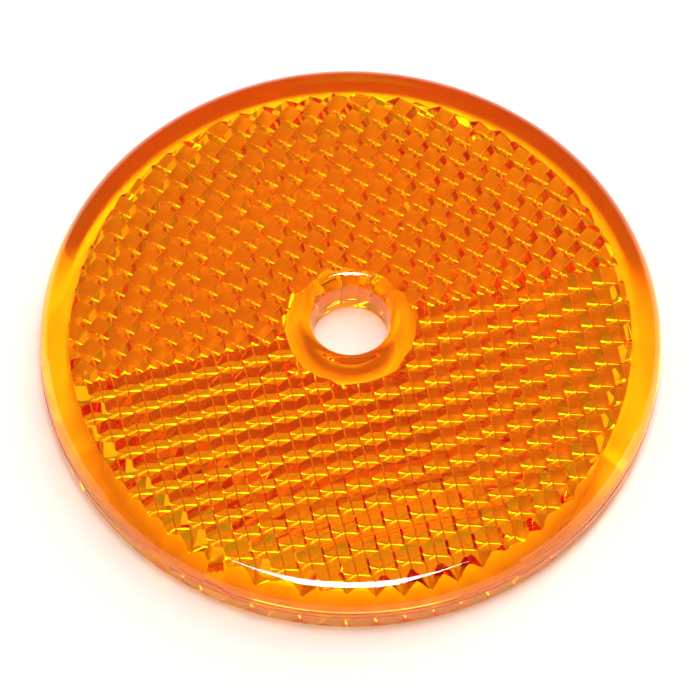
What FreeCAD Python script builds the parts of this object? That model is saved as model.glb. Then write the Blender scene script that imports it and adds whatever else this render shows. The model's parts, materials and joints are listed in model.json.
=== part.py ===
import FreeCAD, Part

import math
import os

from FreeCAD import Vector

# Round screw-on reflex reflector, moulded in one piece from clear amber acrylic.
# The origin is the centre of the back face, which lies on Z = 0. +Z comes out of the front face.
# The X axis is the line where the two halves of the prism field meet.

# Disc, in millimetres
OUTER_DIAMETER = 60.0
THICKNESS = 5.0
FRONT_EDGE_ROUND = 2.4
BACK_EDGE_CHAMFER = 0.3

# Parting line of the mould on the side wall: the front half is drawn slightly smaller
PARTING_HEIGHT = 2.2
PARTING_STEP = 0.06
WALL_DRAFT_DEG = 1.5

# Screw hole
HOLE_DIAMETER = 7.6
MOUTH_ROUND = 1.2
HOLE_BACK_CHAMFER = 0.3

# Full-depth walls on the back: the rim ring and the boss round the hole
RIM_WALL = 2.9
BOSS_WALL = 2.5

# Cube-corner prisms on a hexagonal grid, tips towards the back
PRISM_PITCH = 2.5
TIP_RECESS = 0.6
ROW_SHIFT = 0.3

# Flat left where the moulding gate was sheared off the side wall
GATE_WIDTH = 3.4
GATE_BEARING_DEG = 219.0
GATE_BOTTOM = 0.9

# Radii and heights that follow from the sizes above
OUTER_RADIUS = OUTER_DIAMETER / 2.0
FRONT_RADIUS = OUTER_RADIUS - PARTING_STEP
BACK_RADIUS = OUTER_RADIUS - PARTING_HEIGHT * math.tan(math.radians(WALL_DRAFT_DEG))
HOLE_RADIUS = HOLE_DIAMETER / 2.0
FIELD_RADIUS = OUTER_RADIUS - RIM_WALL
BOSS_RADIUS = HOLE_RADIUS + BOSS_WALL

# Cube-corner geometry: three square facets that meet at a right-angled tip
HEX_RADIUS = PRISM_PITCH / math.sqrt(3.0)
ROW_STEP = PRISM_PITCH * math.sqrt(3.0) / 2.0
RISE = PRISM_PITCH / math.sqrt(6.0)
TIP_HEIGHT = TIP_RECESS
LOW_HEIGHT = TIP_HEIGHT + RISE
HIGH_HEIGHT = TIP_HEIGHT + 2.0 * RISE
CROSS_HEIGHT = (LOW_HEIGHT + HIGH_HEIGHT) / 2.0
HEX_CORNERS = 6


def on_axis_plane(radius, height):
    """A point of the section, which is drawn on the XZ plane."""
    return Vector(radius, 0.0, height)


def quarter_round(start, end, centre):
    """The short arc from start to end about centre, in the section plane."""
    middle = (start - centre) + (end - centre)
    middle.normalize()
    middle.multiply((start - centre).Length)
    return Part.Arc(start, centre + middle, end).toShape()


def disc_section():
    """The outline of the disc from the hole to the side wall, as a closed wire."""
    back_in = on_axis_plane(HOLE_RADIUS + HOLE_BACK_CHAMFER, 0.0)
    back_out = on_axis_plane(BACK_RADIUS - BACK_EDGE_CHAMFER, 0.0)
    wall_low = on_axis_plane(BACK_RADIUS, BACK_EDGE_CHAMFER)
    wall_parting = on_axis_plane(OUTER_RADIUS, PARTING_HEIGHT)
    step_in = on_axis_plane(FRONT_RADIUS, PARTING_HEIGHT)
    edge_low = on_axis_plane(FRONT_RADIUS, THICKNESS - FRONT_EDGE_ROUND)
    face_out = on_axis_plane(FRONT_RADIUS - FRONT_EDGE_ROUND, THICKNESS)
    face_in = on_axis_plane(HOLE_RADIUS + MOUTH_ROUND, THICKNESS)
    hole_top = on_axis_plane(HOLE_RADIUS, THICKNESS - MOUTH_ROUND)
    hole_low = on_axis_plane(HOLE_RADIUS, HOLE_BACK_CHAMFER)
    edges = [
        Part.makeLine(back_in, back_out),
        Part.makeLine(back_out, wall_low),
        Part.makeLine(wall_low, wall_parting),
        Part.makeLine(wall_parting, step_in),
        Part.makeLine(step_in, edge_low),
        quarter_round(edge_low, face_out, on_axis_plane(face_out.x, edge_low.z)),
        Part.makeLine(face_out, face_in),
        quarter_round(face_in, hole_top, on_axis_plane(face_in.x, hole_top.z)),
        Part.makeLine(hole_top, hole_low),
        Part.makeLine(hole_low, back_in),
    ]
    return Part.Wire(edges)


def disc_body():
    """The disc with its hole and rounded edges, before the prisms are cut into its back."""
    section = Part.Face(disc_section())
    return section.revolve(Vector(0, 0, 0), Vector(0, 0, 1), 360.0)


def gate_flat():
    """The block that shaves the flat of the sheared gate off the side wall, up to the parting line."""
    inset = math.sqrt(OUTER_RADIUS ** 2 - (GATE_WIDTH / 2.0) ** 2)
    height = PARTING_HEIGHT - GATE_BOTTOM
    across = 2.0 * GATE_WIDTH
    block = Part.makeBox(GATE_WIDTH, across, height)
    block.translate(Vector(inset, -across / 2.0, GATE_BOTTOM))
    block.rotate(Vector(0, 0, 0), Vector(0, 0, 1), GATE_BEARING_DEG)
    return block


def prism_cells():
    """The plan centres of the prisms, as a dictionary from (column, row) to a point.

    Rows run along X. Rows below 0 lie on the -Y side of the meeting line, the others on the +Y side.
    """
    reach = FIELD_RADIUS + HEX_RADIUS
    rows = math.ceil(reach / ROW_STEP) + 1
    columns = math.ceil(reach / PRISM_PITCH) + 2
    cells = {}
    for row in range(-rows, rows):
        half_step = PRISM_PITCH / 2.0 if row % 2 == 0 else 0.0
        for column in range(-columns, columns + 1):
            centre = Vector(ROW_SHIFT + half_step + column * PRISM_PITCH, (row + 0.5) * ROW_STEP, 0.0)
            if BOSS_RADIUS - HEX_RADIUS < centre.Length < reach:
                cells[(column, row)] = centre
    return cells


def neighbour(column, row, side):
    """The cell across one side of a hexagon. Side 0 lies between the corners at 30 and 90 degrees."""
    shift = 1 if row % 2 == 0 else 0
    steps = [(shift, 1), (shift - 1, 1), (-1, 0), (shift - 1, -1), (shift, -1), (1, 0)]
    across, up = steps[side]
    return column + across, row + up


def corner_height(row, corner):
    """The height of a hexagon corner. The prisms on the +Y side are turned by 180 degrees."""
    high_corner = corner % 2 == 0
    if row >= 0:
        high_corner = not high_corner
    return HIGH_HEIGHT if high_corner else LOW_HEIGHT


def corner_point(centre, corner, height):
    """A hexagon corner in space. Corner 0 is at 30 degrees from X, and they go round by 60."""
    angle = math.radians(30.0 + 60.0 * corner)
    return Vector(centre.x + HEX_RADIUS * math.cos(angle), centre.y + HEX_RADIUS * math.sin(angle), height)


def polygon_face(points):
    """A flat face through the points in order."""
    return Part.Face(Part.makePolygon(points + points[:1]))


def prism_space():
    """The space behind the prisms: faceted above, open to below the back face, wider than the field."""
    cells = prism_cells()
    floor = -THICKNESS
    faces = []
    for (column, row), centre in cells.items():
        tip = Vector(centre.x, centre.y, TIP_HEIGHT)
        rims = [corner_point(centre, c, corner_height(row, c)) for c in range(HEX_CORNERS)]
        feet = [corner_point(centre, c, floor) for c in range(HEX_CORNERS)]
        crossings = {}
        for side in range(HEX_CORNERS):
            after = (side + 1) % HEX_CORNERS
            across = neighbour(column, row, side)
            if across not in cells:
                faces.append(polygon_face([rims[side], rims[after], feet[after], feet[side]]))
            elif (across[1] >= 0) != (row >= 0):
                crossing = (rims[side] + rims[after]) * 0.5
                crossings[side] = crossing
                if row < 0:
                    faces += step_faces(rims[side], rims[after], crossing)
        for low in range(HEX_CORNERS):
            if rims[low].z == LOW_HEIGHT:
                faces.append(square_facet(tip, rims, crossings, low))
        faces.append(polygon_face(feet[::-1]))
    shell = Part.makeShell(faces)
    shell.sewShape()
    return Part.makeSolid(shell)


def square_facet(tip, rims, crossings, low):
    """One of the three facets of a prism, from its tip over two low corners and the high one between."""
    high = (low + 1) % HEX_CORNERS
    far = (low + 2) % HEX_CORNERS
    points = [tip, rims[low]]
    if low in crossings:
        points.append(crossings[low])
    points.append(rims[high])
    if high in crossings:
        points.append(crossings[high])
    points.append(rims[far])
    return polygon_face(points)


def step_faces(first, second, crossing):
    """The two upright triangles between prisms turned opposite ways, along one side of a hexagon."""
    triangles = []
    for corner in (first, second):
        turned_height = LOW_HEIGHT + HIGH_HEIGHT - corner.z
        turned = Vector(corner.x, corner.y, turned_height)
        triangles.append(polygon_face([corner, turned, crossing]))
    return triangles


def prism_field_cut():
    """The space behind the prisms, trimmed to the ring between the boss and the rim."""
    height = HIGH_HEIGHT + THICKNESS
    start = Vector(0, 0, -THICKNESS / 2.0)
    ring = Part.makeCylinder(FIELD_RADIUS, height, start)
    ring = ring.cut(Part.makeCylinder(BOSS_RADIUS, height, start))
    return ring.common(prism_space())


def reflector():
    """The whole moulding as one solid."""
    body = disc_body().cut(gate_flat())
    body = body.cut(prism_field_cut())
    return body.Solids[0]


os.makedirs("parts", exist_ok=True)
moulding = reflector()
moulding.exportStep("parts/reflector.step")
print("reflector: valid", moulding.isValid(), "faces", len(moulding.Faces), "volume", round(moulding.Volume, 1))
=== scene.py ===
"""Round amber reflex reflector: its one-piece moulding, its clear acrylic and the studio round it."""

import json
import logging
import math
from contextlib import contextmanager
from dataclasses import dataclass
from enum import Enum
from typing import Callable, Iterator

import bmesh
import bpy
from mathutils import Matrix, Vector


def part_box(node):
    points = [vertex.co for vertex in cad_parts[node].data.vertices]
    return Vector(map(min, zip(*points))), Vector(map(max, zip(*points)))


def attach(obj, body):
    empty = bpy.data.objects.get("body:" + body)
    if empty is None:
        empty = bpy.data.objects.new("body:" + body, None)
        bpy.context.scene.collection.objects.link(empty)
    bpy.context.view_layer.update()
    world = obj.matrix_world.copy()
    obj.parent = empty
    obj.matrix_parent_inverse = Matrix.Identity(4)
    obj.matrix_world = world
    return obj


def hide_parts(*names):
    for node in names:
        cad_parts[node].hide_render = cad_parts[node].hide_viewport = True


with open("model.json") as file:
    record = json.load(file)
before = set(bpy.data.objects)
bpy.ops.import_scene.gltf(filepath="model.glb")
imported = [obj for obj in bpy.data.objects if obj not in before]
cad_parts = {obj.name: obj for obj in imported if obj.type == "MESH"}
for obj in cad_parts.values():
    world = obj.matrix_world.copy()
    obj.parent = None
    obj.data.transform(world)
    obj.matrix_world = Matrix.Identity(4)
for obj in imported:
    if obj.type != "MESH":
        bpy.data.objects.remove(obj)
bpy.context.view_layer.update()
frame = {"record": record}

MM = 0.001
MICRON = 0.000001

log = logging.getLogger("reflector_scene")


class Cut(Enum):
    """How a boolean joins two closed meshes."""

    REMOVE = "DIFFERENCE"
    KEEP_SHARED = "INTERSECT"


class Reach(Enum):
    """What a lamp does: it lights the disc and the floor, or only shows as a highlight on the surface."""

    LIGHT = "light"
    MIRROR = "mirror"


def deselect_all() -> None:
    """Leave edit mode and clear the selection."""
    if bpy.context.object and bpy.context.object.mode != "OBJECT":
        bpy.ops.object.mode_set(mode="OBJECT")
    bpy.ops.object.select_all(action="DESELECT")


def select_only(piece: bpy.types.Object) -> None:
    """Make one object the only selected and the active one."""
    deselect_all()
    piece.select_set(True)
    bpy.context.view_layer.objects.active = piece


@contextmanager
def editing(piece: bpy.types.Object, kind: str) -> Iterator[None]:
    """Edit one mesh with nothing selected, and leave edit mode at the end.

    Args:
        piece: The mesh object to edit.
        kind: What is picked: VERT, EDGE or FACE.
    """
    select_only(piece)
    bpy.ops.object.mode_set(mode="EDIT")
    bpy.ops.mesh.select_mode(type=kind)
    bpy.ops.mesh.select_all(action="DESELECT")
    yield
    bpy.ops.object.mode_set(mode="OBJECT")


def pick_vertices(piece: bpy.types.Object, test: Callable[[Vector], bool]) -> None:
    """Select the vertices of the mesh in edit mode whose place passes a test."""
    mesh = bmesh.from_edit_mesh(piece.data)
    for vertex in mesh.verts:
        vertex.select_set(test(vertex.co))
    mesh.select_flush(True)
    bmesh.update_edit_mesh(piece.data)


def pick_edges(piece: bpy.types.Object, test: Callable[[bmesh.types.BMEdge], bool]) -> None:
    """Select the edges of the mesh in edit mode that pass a test."""
    mesh = bmesh.from_edit_mesh(piece.data)
    for edge in mesh.edges:
        edge.select_set(test(edge))
    bmesh.update_edit_mesh(piece.data)


def pick_faces(piece: bpy.types.Object, test: Callable[[bmesh.types.BMFace], bool]) -> None:
    """Select the faces of the mesh in edit mode that pass a test."""
    mesh = bmesh.from_edit_mesh(piece.data)
    for face in mesh.faces:
        face.select_set(test(face))
    bmesh.update_edit_mesh(piece.data)


def apply_modifier(piece: bpy.types.Object, kind: str, **settings: object) -> None:
    """Add a modifier to a piece, set it up and apply it.

    Args:
        piece: The object that gets the modifier.
        kind: Blender's name for the modifier type.
        settings: Values for the modifier's own properties.
    """
    select_only(piece)
    bpy.ops.object.modifier_add(type=kind)
    modifier = piece.modifiers[-1]
    for name, value in settings.items():
        setattr(modifier, name, value)
    bpy.ops.object.modifier_apply(modifier=modifier.name)


def combine(piece: bpy.types.Object, tool: bpy.types.Object, cut: Cut) -> None:
    """Cut a piece with a closed tool mesh, and leave the tool as it is."""
    apply_modifier(piece, "BOOLEAN", operation=cut.value, object=tool, solver="EXACT")


def discard(piece: bpy.types.Object) -> None:
    """Delete a tool mesh that has done its work."""
    select_only(piece)
    bpy.ops.object.delete()


def close_seams(piece: bpy.types.Object, reach: float) -> None:
    """Merge points that lie together and turn all faces outwards."""
    with editing(piece, "VERT"):
        bpy.ops.mesh.select_all(action="SELECT")
        bpy.ops.mesh.remove_doubles(threshold=reach)
        bpy.ops.mesh.select_all(action="SELECT")
        bpy.ops.mesh.normals_make_consistent(inside=False)


def drop_idle_points(piece: bpy.types.Object) -> None:
    """Dissolve points with only two edges, which cutting leaves in the middle of a straight ridge."""
    with editing(piece, "VERT"):
        mesh = bmesh.from_edit_mesh(piece.data)
        for vertex in mesh.verts:
            vertex.select_set(len(vertex.link_edges) == 2)
        bmesh.update_edit_mesh(piece.data)
        bpy.ops.mesh.dissolve_verts()


def section_plate(name: str, inner: float, outer: float, low: float, high: float) -> bpy.types.Object:
    """Add a flat plate on the XZ plane, the raw section of a ring about the Z axis.

    Args:
        name: Name of the new object.
        inner: Inner radius of the ring.
        outer: Outer radius of the ring.
        low: Height of its lower side.
        high: Height of its upper side.

    Returns:
        The plate, at the origin and unturned.
    """
    deselect_all()
    middle = ((inner + outer) / 2.0, 0.0, (low + high) / 2.0)
    bpy.ops.mesh.primitive_plane_add(size=1.0, location=middle, rotation=(math.pi / 2.0, 0.0, 0.0))
    plate = bpy.context.object
    plate.name = name
    plate.scale = (outer - inner, high - low, 1.0)
    bpy.ops.object.transform_apply(location=True, rotation=True, scale=True)
    return plate


def spin_section(plate: bpy.types.Object, steps: int) -> None:
    """Spin the outline of a plate once round the Z axis into a closed ring."""
    with editing(plate, "FACE"):
        bpy.ops.mesh.select_all(action="SELECT")
        bpy.ops.mesh.delete(type="ONLY_FACE")
        bpy.ops.mesh.select_mode(type="EDGE")
        bpy.ops.mesh.select_all(action="SELECT")
        bpy.ops.mesh.spin(steps=steps, angle=math.tau, center=(0.0, 0.0, 0.0), axis=(0.0, 0.0, 1.0))
    close_seams(plate, MICRON)


@dataclass(frozen=True)
class AmberAcrylic:
    """Clear amber acrylic, polished by the mould.

    Its dye saturates early: light loses a share of its blue and green at each face, and more on its way.
    """

    gate_place: Vector
    gate_reach: float
    index: float = 1.49
    polish: float = 0.0
    gate_roughness: float = 0.5
    gate_core: float = 0.9
    density: float = 700.0
    tint: tuple[float, float, float] = (1.0, 0.7, 0.1)
    absorption: tuple[float, float, float] = (0.994, 0.914, 0.0)
    wave_length: float = 7.0 * MM
    wave_height: float = 0.004 * MM

    def material(self) -> bpy.types.Material:
        """Make the material.

        Returns:
            A glass-like plastic with a tint, coloured absorption, slight shrink waves and a matt gate.
        """
        material = bpy.data.materials.new("amber_acrylic_clear")
        material.use_nodes = True
        nodes = material.node_tree.nodes
        links = material.node_tree.links
        shader = nodes["Principled BSDF"]
        shader.inputs["Base Color"].default_value = (*self.tint, 1.0)
        shader.inputs["Transmission Weight"].default_value = 1.0
        shader.inputs["IOR"].default_value = self.index
        place = nodes.new("ShaderNodeTexCoord")
        links.new(self.roughness(material, place), shader.inputs["Roughness"])
        links.new(self.waves(material, place), shader.inputs["Normal"])
        volume = nodes.new("ShaderNodeVolumeAbsorption")
        volume.inputs["Color"].default_value = (*self.absorption, 1.0)
        volume.inputs["Density"].default_value = self.density
        links.new(volume.outputs["Volume"], nodes["Material Output"].inputs["Volume"])
        return material

    @staticmethod
    def noise(material: bpy.types.Material, place: bpy.types.Node, length: float) -> bpy.types.Node:
        """Add a noise texture on object coordinates, whose features have a given length."""
        texture = material.node_tree.nodes.new("ShaderNodeTexNoise")
        texture.inputs["Scale"].default_value = 1.0 / length
        texture.inputs["Detail"].default_value = 1.0
        material.node_tree.links.new(place.outputs["Object"], texture.inputs["Vector"])
        return texture

    def waves(self, material: bpy.types.Material, place: bpy.types.Node) -> bpy.types.NodeSocket:
        """Make the slight waves that shrinkage leaves in a moulded face.

        Returns:
            The socket that gives the wavy normal.
        """
        texture = self.noise(material, place, self.wave_length)
        bump = material.node_tree.nodes.new("ShaderNodeBump")
        bump.inputs["Distance"].default_value = self.wave_height
        material.node_tree.links.new(texture.outputs["Fac"], bump.inputs["Height"])
        return bump.outputs["Normal"]

    def roughness(self, material: bpy.types.Material, place: bpy.types.Node) -> bpy.types.NodeSocket:
        """Keep the polish of the mould, but leave it matt where the gate was sheared off.

        Returns:
            The socket that gives the roughness.
        """
        nodes = material.node_tree.nodes
        links = material.node_tree.links
        offset = nodes.new("ShaderNodeVectorMath")
        offset.operation = "DISTANCE"
        offset.inputs[1].default_value = self.gate_place
        links.new(place.outputs["Object"], offset.inputs[0])
        gate = nodes.new("ShaderNodeMapRange")
        gate.inputs["From Min"].default_value = self.gate_reach
        gate.inputs["From Max"].default_value = self.gate_reach * self.gate_core
        gate.inputs["To Min"].default_value = self.polish
        gate.inputs["To Max"].default_value = self.gate_roughness
        links.new(offset.outputs["Value"], gate.inputs["Value"])
        return gate.outputs["Result"]


@dataclass
class ReflectorMoulding:
    """The disc with its rolled front edge, its screw hole and two banks of cube-corner prisms."""

    node: str = "reflector"
    body: str = "root"
    slot: str = "amber_acrylic"
    front_edge_round: float = 2.4 * MM
    back_chamfer: float = 0.3 * MM
    parting_height: float = 2.2 * MM
    parting_step: float = 0.06 * MM
    wall_draft_deg: float = 1.5
    mouth_round: float = 1.2 * MM
    rim_wall: float = 2.9 * MM
    boss_wall: float = 2.5 * MM
    pitch: float = 2.5 * MM
    tip_recess: float = 0.6 * MM
    row_shift: float = 0.3 * MM
    ridge_round: float = 0.14 * MM
    ridge_segments: int = 3
    gate_width: float = 3.4 * MM
    gate_bearing_deg: float = 219.0
    gate_bottom: float = 0.9 * MM
    bank_overlap: float = 2.0 * MICRON
    seam_reach: float = 3.0 * MICRON
    smooth_angle_deg: float = 40.0
    spin_steps: int = 288
    edge_segments: int = 24
    mouth_segments: int = 16

    @property
    def outer_radius(self) -> float:
        """Radius of the disc at its parting line, from the CAD box."""
        low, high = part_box(self.node)
        return (high[0] - low[0]) / 2.0

    @property
    def thickness(self) -> float:
        """Thickness of the disc, from the CAD box."""
        low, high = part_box(self.node)
        return high[2] - low[2]

    @property
    def hole_radius(self) -> float:
        """Radius of the screw hole, from the mount in the record."""
        for mount in frame["record"]["mounts"]:
            if mount["name"] == "screw_hole":
                return mount["dims"]["r_mm"] * MM
        raise ValueError("the record has no screw_hole mount")

    @property
    def gate_inset(self) -> float:
        """Distance of the gate flat from the axis."""
        return math.sqrt(self.outer_radius ** 2 - (self.gate_width / 2.0) ** 2)

    @property
    def gate_middle(self) -> Vector:
        """The middle of the gate flat on the side wall."""
        bearing = math.radians(self.gate_bearing_deg)
        height = (self.gate_bottom + self.parting_height) / 2.0
        return Vector((self.gate_inset * math.cos(bearing), self.gate_inset * math.sin(bearing), height))

    @property
    def row_step(self) -> float:
        """Distance between two rows of prisms."""
        return self.pitch * math.sqrt(3.0) / 2.0

    @property
    def high_corner(self) -> float:
        """Height of the highest corners between the prisms."""
        return self.tip_recess + 2.0 * self.pitch / math.sqrt(6.0)

    def build(self) -> bpy.types.Object:
        """Model the whole moulding in place of the CAD node.

        Returns:
            The finished mesh object.
        """
        disc = self.build_disc()
        gate = self.build_gate_block()
        combine(disc, gate, Cut.REMOVE)
        discard(gate)
        near_bank = self.build_bank()
        far_bank = self.turned_bank(near_bank)
        for bank in (near_bank, far_bank):
            ring = self.build_field_ring()
            combine(bank, ring, Cut.KEEP_SHARED)
            discard(ring)
            combine(disc, bank, Cut.REMOVE)
            discard(bank)
        self.smooth(disc)
        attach(disc, self.body)
        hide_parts(self.node)
        return disc

    def dress(self, disc: bpy.types.Object) -> None:
        """Give the moulding its clear acrylic."""
        finish = AmberAcrylic(gate_place=self.gate_middle, gate_reach=self.gate_width / 2.0)
        disc.data.materials.clear()
        disc.data.materials.append(finish.material())

    def build_disc(self) -> bpy.types.Object:
        """Spin the section of the disc, with its rolled edge, parting line and rounded hole.

        Returns:
            The disc before its prisms are cut.
        """
        outer = self.outer_radius
        front = outer - self.parting_step
        back = outer - self.parting_height * math.tan(math.radians(self.wall_draft_deg))
        top = self.thickness
        inner = self.hole_radius
        disc = section_plate("reflector_moulding", inner, outer, 0.0, top)
        middle = (inner + outer) / 2.0
        with editing(disc, "EDGE"):
            pick_edges(disc, lambda edge: all(v.co.x > middle for v in edge.verts))
            bpy.ops.mesh.subdivide(number_cuts=2)
            self.place_point(disc, (outer, top / 3.0), (outer, self.parting_height))
            self.place_point(disc, (outer, top * 2.0 / 3.0), (front, self.parting_height))
            self.place_point(disc, (outer, 0.0), (back, 0.0))
            self.place_point(disc, (outer, top), (front, top))
        self.round_corner(disc, (front, top), self.front_edge_round, self.edge_segments)
        self.round_corner(disc, (inner, top), self.mouth_round, self.mouth_segments)
        self.round_corner(disc, (back, 0.0), self.back_chamfer, 1)
        self.round_corner(disc, (inner, 0.0), self.back_chamfer, 1)
        spin_section(disc, self.spin_steps)
        return disc

    @staticmethod
    def place_point(plate: bpy.types.Object, old: tuple[float, float], new: tuple[float, float]) -> None:
        """Move one point of a section, given by its radius and height, to a new place."""
        start = Vector((old[0], 0.0, old[1]))
        pick_vertices(plate, lambda place: (place - start).length < MICRON)
        bpy.ops.transform.translate(value=(new[0] - old[0], 0.0, new[1] - old[1]))

    @staticmethod
    def round_corner(
        plate: bpy.types.Object, corner: tuple[float, float], size: float, segments: int
    ) -> None:
        """Round one corner of a section, or chamfer it with a single segment."""
        place = Vector((corner[0], 0.0, corner[1]))
        with editing(plate, "VERT"):
            pick_vertices(plate, lambda point: (point - place).length < MICRON)
            bpy.ops.mesh.bevel(affect="VERTICES", offset=size, segments=segments, profile=0.5)

    def build_gate_block(self) -> bpy.types.Object:
        """Make the block that shaves the flat of the sheared gate off the side wall.

        Returns:
            A box that ends at the parting line.
        """
        deselect_all()
        reach = self.gate_inset + self.gate_width / 2.0
        bearing = math.radians(self.gate_bearing_deg)
        height = self.parting_height - self.gate_bottom
        place = (reach * math.cos(bearing), reach * math.sin(bearing), self.gate_bottom + height / 2.0)
        bpy.ops.mesh.primitive_cube_add(size=1.0, location=place, rotation=(0.0, 0.0, bearing))
        block = bpy.context.object
        block.name = "gate_block"
        block.scale = (self.gate_width, 2.0 * self.gate_width, height)
        bpy.ops.object.transform_apply(location=True, rotation=True, scale=True)
        return block

    def build_field_ring(self) -> bpy.types.Object:
        """Make the ring between boss and rim that limits the prisms."""
        inner = self.hole_radius + self.boss_wall
        outer = self.outer_radius - self.rim_wall
        ring = section_plate("field_ring", inner, outer, -MM, self.high_corner + MM)
        spin_section(ring, self.spin_steps)
        return ring

    def build_bank(self) -> bpy.types.Object:
        """Model the space behind one half of the prisms: one cell, copied in rows.

        Each cell is the lower corner of a cube that stands on its tip.

        Returns:
            A closed mesh, faceted above and flat below the back face.
        """
        reach = self.outer_radius
        columns = math.ceil(reach / self.pitch) * 2
        row_pairs = math.ceil(reach / self.row_step / 2.0)
        bank = self.build_cell()
        first = (self.row_shift - columns / 2.0 * self.pitch, -self.row_step / 2.0, 0.0)
        with editing(bank, "FACE"):
            bpy.ops.mesh.select_all(action="SELECT")
            bpy.ops.transform.translate(value=first)
            bpy.ops.mesh.duplicate_move(
                TRANSFORM_OT_translate={"value": (self.pitch / 2.0, -self.row_step, 0.0)}
            )
        array = {"use_relative_offset": False, "use_constant_offset": True}
        row = (self.pitch, 0.0, 0.0)
        apply_modifier(bank, "ARRAY", count=columns, constant_offset_displace=row, **array)
        step = (0.0, -2.0 * self.row_step, 0.0)
        apply_modifier(bank, "ARRAY", count=row_pairs, constant_offset_displace=step, **array)
        close_seams(bank, MICRON)
        tip = self.tip_recess
        with editing(bank, "EDGE"):
            pick_edges(bank, lambda edge: any(abs(v.co.z - tip) < MICRON for v in edge.verts))
            bpy.ops.mesh.bevel(offset=self.ridge_round, segments=self.ridge_segments, profile=0.5)
            bpy.ops.mesh.select_all(action="SELECT")
            depth = 2.0 * self.thickness
            bpy.ops.mesh.extrude_region_move(TRANSFORM_OT_translate={"value": (0.0, 0.0, -depth)})
            bpy.ops.transform.resize(value=(1.0, 1.0, 0.0), center_override=(0.0, 0.0, -depth / 2.0))
        close_seams(bank, MICRON)
        return bank

    def build_cell(self) -> bpy.types.Object:
        """Stand a cube on its tip and keep its three lower faces.

        Returns:
            One cell with its tip on the Z axis and its low corners at 90, 210 and 330 degrees.
        """
        deselect_all()
        edge = self.pitch / math.sqrt(2.0)
        spread = math.sqrt(2.0 / 3.0)
        rise = 1.0 / math.sqrt(3.0)
        bearings = [math.radians(90.0 + 120.0 * corner) for corner in range(3)]
        turn = Matrix([(spread * math.cos(b), spread * math.sin(b), rise) for b in bearings]).transposed()
        centre = (0.0, 0.0, self.tip_recess + edge * math.sqrt(3.0) / 2.0)
        bpy.ops.mesh.primitive_cube_add(size=edge, location=centre, rotation=turn.to_euler())
        cell = bpy.context.object
        cell.name = "prism_bank"
        bpy.ops.object.transform_apply(location=True, rotation=True, scale=True)
        with editing(cell, "FACE"):
            pick_faces(cell, lambda face: face.normal.z > 0.0)
            bpy.ops.mesh.delete(type="FACE")
        return cell

    def turned_bank(self, bank: bpy.types.Object) -> bpy.types.Object:
        """Copy a bank and turn the copy by half a turn onto the other side of the meeting line.

        Args:
            bank: The bank on the -Y side.

        Returns:
            The bank on the +Y side, a hair over the line so that no film is left between the two.
        """
        select_only(bank)
        bpy.ops.object.duplicate()
        turned = bpy.context.object
        pivot = (self.row_shift + self.pitch / 4.0, 0.0, 0.0)
        with editing(turned, "VERT"):
            bpy.ops.mesh.select_all(action="SELECT")
            bpy.ops.transform.rotate(value=math.pi, orient_axis="Z", center_override=pivot)
            bpy.ops.transform.translate(value=(0.0, -self.bank_overlap, 0.0))
        return turned

    def smooth(self, piece: bpy.types.Object) -> None:
        """Close the seams that the cuts left, shade the rounds smooth and keep the facets flat."""
        close_seams(piece, self.seam_reach)
        drop_idle_points(piece)
        select_only(piece)
        bpy.ops.object.shade_smooth_by_angle(angle=math.radians(self.smooth_angle_deg))
        apply_modifier(piece, "WEIGHTED_NORMAL", mode="FACE_AREA", weight=100, keep_sharp=True)


@dataclass
class StudioCamera:
    """A long lens above the disc, at the view of the photograph."""

    azimuth_deg: float = -15.2
    elevation_deg: float = 60.89
    roll_deg: float = 0.566
    distance: float = 220.0 * MM
    image_width_px: float = 700.0
    focal_px: float = 2254.5
    sensor_width_mm: float = 36.0
    aim_right: float = 0.052 * MM
    aim_up: float = 0.865 * MM

    def build(self) -> bpy.types.Object:
        """Add the camera and make it the scene's own.

        Returns:
            The camera object.
        """
        azimuth = math.radians(self.azimuth_deg)
        elevation = math.radians(self.elevation_deg)
        roll = math.radians(self.roll_deg)
        level = Vector((math.sin(azimuth), -math.cos(azimuth), 0.0))
        back = level * math.cos(elevation) + Vector((0.0, 0.0, math.sin(elevation)))
        right = Vector((math.cos(azimuth), math.sin(azimuth), 0.0))
        up = back.cross(right)
        tilted_right = right * math.cos(roll) + up * math.sin(roll)
        tilted_up = up * math.cos(roll) - right * math.sin(roll)
        place = back * self.distance - tilted_right * self.aim_right - tilted_up * self.aim_up
        turn = Matrix((tilted_right, tilted_up, back)).transposed()
        bpy.ops.object.camera_add(location=place, rotation=turn.to_euler())
        camera = bpy.context.object
        camera.data.sensor_width = self.sensor_width_mm
        camera.data.lens = self.focal_px / self.image_width_px * self.sensor_width_mm
        camera.data.clip_start = MM
        bpy.context.scene.camera = camera
        return camera


@dataclass
class StudioFloor:
    """A plain white floor that keeps a soft shadow."""

    size: float = 4.0
    gap: float = 5.0 * MICRON
    albedo: float = 0.85

    def build(self) -> bpy.types.Object:
        """Add the floor just under the disc.

        Returns:
            The floor object.
        """
        deselect_all()
        bpy.ops.mesh.primitive_plane_add(size=self.size, location=(0.0, 0.0, -self.gap))
        floor = bpy.context.object
        floor.name = "studio_floor"
        material = bpy.data.materials.new("studio_white")
        material.use_nodes = True
        paint = material.node_tree.nodes["Principled BSDF"]
        paint.inputs["Base Color"].default_value = (self.albedo, self.albedo, self.albedo, 1.0)
        paint.inputs["Roughness"].default_value = 1.0
        paint.inputs["Specular IOR Level"].default_value = 0.0
        floor.data.materials.append(material)
        return floor


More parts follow.
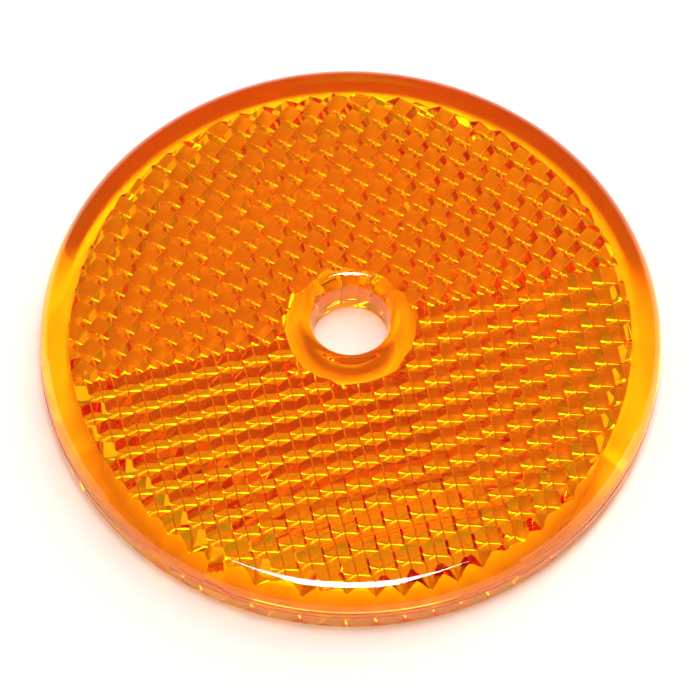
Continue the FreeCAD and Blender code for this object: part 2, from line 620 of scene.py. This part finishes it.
def studio_direction(bearing_deg: float, elevation_deg: float) -> Vector:
    """Give the direction of a place in the studio as seen from the disc.

    Args:
        bearing_deg: Bearing from the far side of the view, clockwise from above.
        elevation_deg: Height above the floor.

    Returns:
        A unit vector in the frame of the disc.
    """
    azimuth = math.radians(StudioCamera.azimuth_deg)
    right = Vector((math.cos(azimuth), math.sin(azimuth), 0.0))
    away = Vector((-math.sin(azimuth), math.cos(azimuth), 0.0))
    bearing = math.radians(bearing_deg)
    level = away * math.cos(bearing) + right * math.sin(bearing)
    elevation = math.radians(elevation_deg)
    return level * math.cos(elevation) + Vector((0.0, 0.0, math.sin(elevation)))


@dataclass(frozen=True)
class Softbox:
    """A soft lamp that faces the disc."""

    name: str
    bearing_deg: float
    elevation_deg: float
    distance: float
    width: float
    height: float
    radiance: float
    reach: Reach

    def build(self) -> None:
        """Add the lamp, turned to the disc, with a power that gives its radiance."""
        deselect_all()
        direction = studio_direction(self.bearing_deg, self.elevation_deg)
        turn = direction.to_track_quat("Z", "Y").to_euler()
        bpy.ops.object.light_add(type="AREA", location=direction * self.distance, rotation=turn)
        lamp = bpy.context.object
        lamp.name = self.name
        lamp.data.shape = "RECTANGLE"
        lamp.data.size = self.width
        lamp.data.size_y = self.height
        lamp.data.energy = self.radiance * math.pi * self.width * self.height
        lamp.visible_glossy = self.reach is Reach.MIRROR
        lamp.visible_diffuse = self.reach is Reach.LIGHT
        lamp.visible_transmission = self.reach is Reach.LIGHT


@dataclass
class StudioLight:
    """An even white tent with a warm side behind the camera, and the lamps."""

    tent_colour: tuple[float, float, float] = (0.56, 0.56, 0.56)
    camera_colour: tuple[float, float, float] = (0.97, 0.55, 0.19)
    camera_inner_deg: float = 24.0
    camera_outer_deg: float = 50.0
    mirror_share: float = 0.15
    bounces: int = 32
    lamps: tuple[Softbox, ...] = (
        Softbox(
            name="overhead_lamp",
            bearing_deg=0.0,
            elevation_deg=86.0,
            distance=0.6,
            width=0.22,
            height=0.22,
            radiance=13.0,
            reach=Reach.LIGHT,
        ),
        Softbox(
            name="far_right_lamp",
            bearing_deg=31.0,
            elevation_deg=50.0,
            distance=0.6,
            width=0.13,
            height=0.5,
            radiance=7.0,
            reach=Reach.LIGHT,
        ),
        Softbox(
            name="highlight_lamp",
            bearing_deg=0.0,
            elevation_deg=86.0,
            distance=0.5,
            width=0.11,
            height=0.23,
            radiance=28.0,
            reach=Reach.MIRROR,
        ),
        Softbox(
            name="left_lamp",
            bearing_deg=270.0,
            elevation_deg=6.0,
            distance=0.6,
            width=0.4,
            height=0.11,
            radiance=1.5,
            reach=Reach.MIRROR,
        ),
        Softbox(
            name="right_lamp",
            bearing_deg=110.0,
            elevation_deg=6.0,
            distance=0.6,
            width=0.5,
            height=0.11,
            radiance=2.0,
            reach=Reach.MIRROR,
        ),
    )

    def build(self) -> None:
        """Set up the world, the lamps and how often light may bounce."""
        scene = bpy.context.scene
        scene.world = self.world()
        for lamp in self.lamps:
            lamp.build()
        scene.cycles.blur_glossy = 0.0
        scene.cycles.max_bounces = self.bounces
        scene.cycles.glossy_bounces = self.bounces
        scene.cycles.transmission_bounces = self.bounces
        scene.view_settings.view_transform = "Standard"

    def world(self) -> bpy.types.World:
        """Make the surroundings of the disc.

        Returns:
            The world, dimmer in what the polished surface mirrors.
        """
        world = bpy.data.worlds.new("studio_world")
        world.use_nodes = True
        nodes = world.node_tree.nodes
        links = world.node_tree.links
        place = nodes.new("ShaderNodeTexCoord")
        camera = self.patch(world, place, studio_direction(180.0, StudioCamera.elevation_deg),
                            self.camera_inner_deg, self.camera_outer_deg)
        tent = self.blend(world, camera, self.camera_colour)
        tent.inputs["A"].default_value = (*self.tent_colour, 1.0)
        path = nodes.new("ShaderNodeLightPath")
        strength = nodes.new("ShaderNodeMapRange")
        strength.inputs["To Min"].default_value = 1.0
        strength.inputs["To Max"].default_value = self.mirror_share
        mirrored = nodes.new("ShaderNodeMath")
        mirrored.operation = "SUBTRACT"
        links.new(path.outputs["Is Reflection Ray"], mirrored.inputs[0])
        links.new(path.outputs["Is Diffuse Ray"], mirrored.inputs[1])
        links.new(mirrored.outputs["Value"], strength.inputs["Value"])
        links.new(tent.outputs["Result"], nodes["Background"].inputs["Color"])
        links.new(strength.outputs["Result"], nodes["Background"].inputs["Strength"])
        return world

    @staticmethod
    def patch(world: bpy.types.World, place: bpy.types.Node, direction: Vector,
              inner_deg: float, outer_deg: float) -> bpy.types.Node:
        """Mark a round patch of the surroundings.

        Args:
            world: The world whose nodes are added to.
            place: The texture coordinate node of that world.
            direction: Where the middle of the patch lies.
            inner_deg: Half angle up to which the patch is full.
            outer_deg: Half angle at which it has faded out.

        Returns:
            The node whose result is 1 in the patch and 0 outside it.
        """
        nodes = world.node_tree.nodes
        toward = nodes.new("ShaderNodeVectorMath")
        toward.operation = "DOT_PRODUCT"
        toward.inputs[1].default_value = direction
        world.node_tree.links.new(place.outputs["Generated"], toward.inputs[0])
        share = nodes.new("ShaderNodeMapRange")
        share.interpolation_type = "SMOOTHSTEP"
        share.inputs["From Min"].default_value = math.cos(math.radians(outer_deg))
        share.inputs["From Max"].default_value = math.cos(math.radians(inner_deg))
        world.node_tree.links.new(toward.outputs["Value"], share.inputs["Value"])
        return share

    @staticmethod
    def blend(world: bpy.types.World, share: bpy.types.Node,
              colour: tuple[float, float, float]) -> bpy.types.Node:
        """Lay a colour over the surroundings by a share.

        Args:
            world: The world whose nodes are added to.
            share: The node that gives the share.
            colour: The colour of the patch.

        Returns:
            The mix node, whose input A takes what lies outside the patch.
        """
        mix = world.node_tree.nodes.new("ShaderNodeMix")
        mix.data_type = "RGBA"
        mix.inputs["B"].default_value = (*colour, 1.0)
        world.node_tree.links.new(share.outputs["Result"], mix.inputs["Factor"])
        return mix


def main() -> None:
    """Build the reflector and the studio, and log the moulding's face count."""
    logging.basicConfig(level=logging.INFO, format="%(name)s: %(message)s")
    StudioCamera().build()
    StudioFloor().build()
    StudioLight().build()
    reflector = ReflectorMoulding()
    moulding = reflector.build()
    reflector.dress(moulding)
    log.info("%s: %d faces", moulding.name, len(moulding.data.polygons))


if __name__ == "__main__":
    main()
